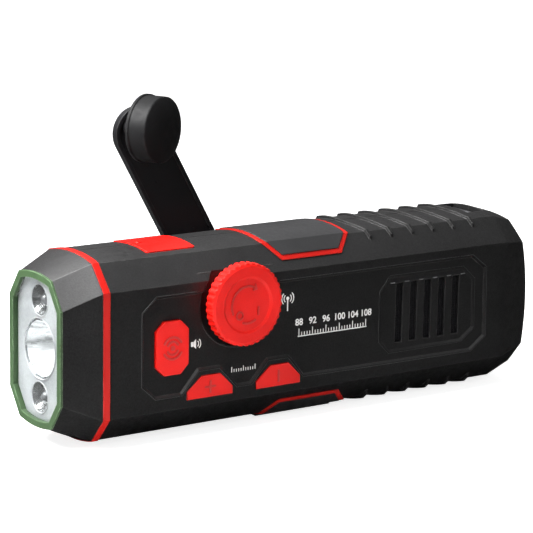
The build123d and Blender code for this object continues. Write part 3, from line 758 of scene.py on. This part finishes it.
# ------------------------------------------------------------------ seams, and painted shade and highlight lines along edges
# Outlines as (x, z) in the control-side drawing frame, mm
PANEL_OUTLINE = [
    (35.1, -17.4), (45.8, -17.4), (52.7, -9.5), (61.6, -9.5), (69.0, -17.3), (75.1, -17.3),
    (82.2, -9.5), (91.1, -9.5), (97.9, -17.4), (117.5, -17.6), (175.6, -17.9), (182.5, -13.0),
    (182.0, 13.6), (175.4, 18.7), (35.1, 18.5), (29.6, 13.4), (29.6, -12.4),
]
GRILLE_OUTLINE = [
    (136.9, 14.8), (171.5, 14.7), (177.0, 9.6), (177.4, -9.5),
    (171.3, -13.9), (137.1, -14.1), (132.5, -9.5), (132.3, 9.2),
]


def parting_line():
    """Dark seam along the top, in three lengths."""
    for name, start, end in (("seam_front", 16.9, 37.2), ("seam_mid", 58.4, 83.5),
                             ("seam_tail", 122.5, 182.8)):
        points = [((x - SIDE_X) * MM, 0, 0.06699) for x in (start, end)]
        add_tube(name, points, 0.00014, seam_and_edge_shade)


def side_line(name, outline, y, radius, material):
    add_tube(name, [side_point(x, z, y) for x, z in outline], radius, material)


def panel_line(name, outline, right_z, left_z, y, radius, material):
    """Panel outline left open along its top edge, where it passes behind the dial."""
    top_right = 14  # points up to the top corner at the +X end
    side_line(name + "_a", outline[:top_right] + [(86.6, right_z)], y, radius, material)
    side_line(name + "_b", [(51.4, left_z)] + outline[top_right:] + outline[:1],
              y, radius, material)


def edge_lines():
    """Painted shade and highlight: dark lines along the panel and grille edges, a lighter painted
    highlight line just outside each, and a painted highlight along the lip of the dial groove.
    """
    # painted shade: dark lines on the panel and grille edges
    panel_line("panel_outline_shade", PANEL_OUTLINE, right_z=18.55, left_z=18.5,
               y=-0.02248, radius=0.00013, material=seam_and_edge_shade)
    panel_line("panel_outline_highlight", grown(PANEL_OUTLINE, 0.34), right_z=18.9, left_z=18.85,
               y=-0.02249, radius=0.00009, material=painted_edge_highlight)
    side_line("grille_outline_shade", GRILLE_OUTLINE + GRILLE_OUTLINE[:1],
              y=-0.02169, radius=0.00011, material=seam_and_edge_shade)
    # painted highlight just outside the grille edge
    highlight_outline = grown(GRILLE_OUTLINE, 0.3)
    side_line("grille_outline_highlight", highlight_outline + highlight_outline[:1], y=-0.02170, radius=0.00006, material=painted_edge_highlight)
    groove = [on_circle(16.15, math.radians(degrees), centre=(69.3, 12.9))
              for degrees in range(-158, 19, 2)]
    side_line("dial_groove_highlight", groove, y=-0.02170, radius=0.00008, material=painted_edge_highlight)


def painted_grille_bar_glints():
    """Painted highlights: small light-grey prisms at the upper ends of the grille bars, standing
    in for glints on their bevelled tops.
    """
    first_x, pitch, z = 138.5, 6.65, 12.0
    glint_outlines = [rounded_box(first_x + pitch * i - SIDE_X, z + SIDE_Z, 2.1, 0.42, corner=0.1)
            for i in range(6)]
    add_relief("painted_grille_bar_glints", [(Vector((0, -0.0212, 0)), glint_outlines)], 0.12, label_and_glint_grey)


def housing_ridges():
    """Rings round the tapered crank housing."""
    base_y, base_radius = 0.0225, 0.0190
    end_radius, length = 0.0162, 0.0115
    taper = (base_radius - end_radius) / length
    low, high = corners("crank_housing")
    centre = ((low.x + high.x) / 2, (low.z + high.z) / 2)
    for k, y in enumerate((0.0248, 0.0274, 0.0300, 0.0326)):
        radius = base_radius - (y - base_y) * taper
        ring = [on_circle(radius, 2 * math.pi * i / 96, centre) for i in range(97)]
        add_tube("housing_ridge_%d" % k, [(x, y, z) for x, z in ring], 0.00032,
                 materials["black_shell"])


def rear_details():
    """Blank plate and a row of upright ridges on the +Y face."""
    rear_y = corners("rear_shell")[1].y
    middle_z = SIDE_Z * MM
    plate = rounded_box(0, 0, 30, 15, corner=1.6)
    add_relief("rear_plate", [(Vector((0.048, rear_y, middle_z)), [plate])], 0.25,
               label_and_glint_grey, right=-X)
    ridges = []
    for i in range(7):
        length = 26 - abs(i - 3) * 1.5
        origin = Vector((-0.068 + i * 0.0042, rear_y, middle_z))
        ridges.append((origin, [rounded_box(0, 0, 1.5, length, corner=0.7)]))
    add_relief("rear_ridges", ridges, 0.3, materials["black_shell"], right=-X)


parting_line()
edge_lines()
painted_grille_bar_glints()
housing_ridges()
rear_details()


# ------------------------------------------------------------------ stage
def add_floor():
    bm = bmesh.new()
    bmesh.ops.create_grid(bm, x_segments=2, y_segments=2, size=6.0)
    mesh = bpy.data.meshes.new("floor")
    bm.to_mesh(mesh)
    bm.free()
    floor = add_object("floor", mesh, floor_material())
    floor.location.z = -0.0001


def add_area_light(name, place, target, size, power, height=None):
    """White area light aimed at target; height makes it a rectangle."""
    light = bpy.data.lights.new(name, "AREA")
    light.energy = power
    light.size = size
    if height:
        light.shape = "RECTANGLE"
        light.size_y = height
    light.color = (1, 1, 1)
    ob = bpy.data.objects.new(name, light)
    ob.location = place
    ob.rotation_euler = (Vector(target) - Vector(place)).to_track_quat("-Z", "Y").to_euler()
    bpy.context.scene.collection.objects.link(ob)


def add_world():
    """White world: full for the camera, a vertical gradient in reflections, dim otherwise."""
    world = bpy.data.worlds.new("studio")
    bpy.context.scene.world = world
    world.use_nodes = True
    g = Graph(world.node_tree)
    direction = g.node("TexCoord").outputs["Generated"]
    up = g.node("SeparateXYZ", {0: direction}).outputs["Z"]
    gradient = g.remap(up, span=(0.15, 0.95), to=(0.05, 0.60))
    rays = g.node("LightPath").outputs
    strength = g.mix_float(rays["Is Glossy Ray"], a=0.39, b=gradient)
    strength = g.mix_float(rays["Is Camera Ray"], a=strength, b=1.0)
    g.wire(world.node_tree.nodes["Background"], {"Strength": strength, "Color": (1, 1, 1, 1)})


def add_camera():
    place = (-0.4873, -0.6864, 0.2296)
    right = (0.821, -0.5707, 0.0169)
    up = (0.1043, 0.1789, 0.9783)
    back = (-0.5614, -0.8014, 0.2064)
    data = bpy.data.cameras.new("camera")
    data.lens = 158.8
    data.sensor_width = 36.0
    data.clip_start = 0.05
    camera = bpy.data.objects.new("camera", data)
    turn = Matrix((right, up, back)).transposed()
    camera.matrix_world = Matrix.Translation(place) @ turn.to_4x4()
    bpy.context.scene.collection.objects.link(camera)
    bpy.context.scene.camera = camera


add_floor()
add_area_light("key_top", (-0.25, 0.03, 0.34), (-0.09, 0, 0.06), size=0.30, power=5.8,
               height=0.30)
add_area_light("top_broad", (0.02, 0.45, 0.75), (-0.03, 0, 0.05), size=0.5, power=0.9)
add_area_light("fill_left", (-0.95, -0.05, 0.30), (-0.10, 0, 0.035), size=0.45, power=0.9)
add_area_light("front_soft", (0.10, -1.1, 0.80), (0, 0, 0.04), size=0.4, power=1.5)
add_world()
add_camera()
bpy.context.scene.view_settings.view_transform = "Standard"
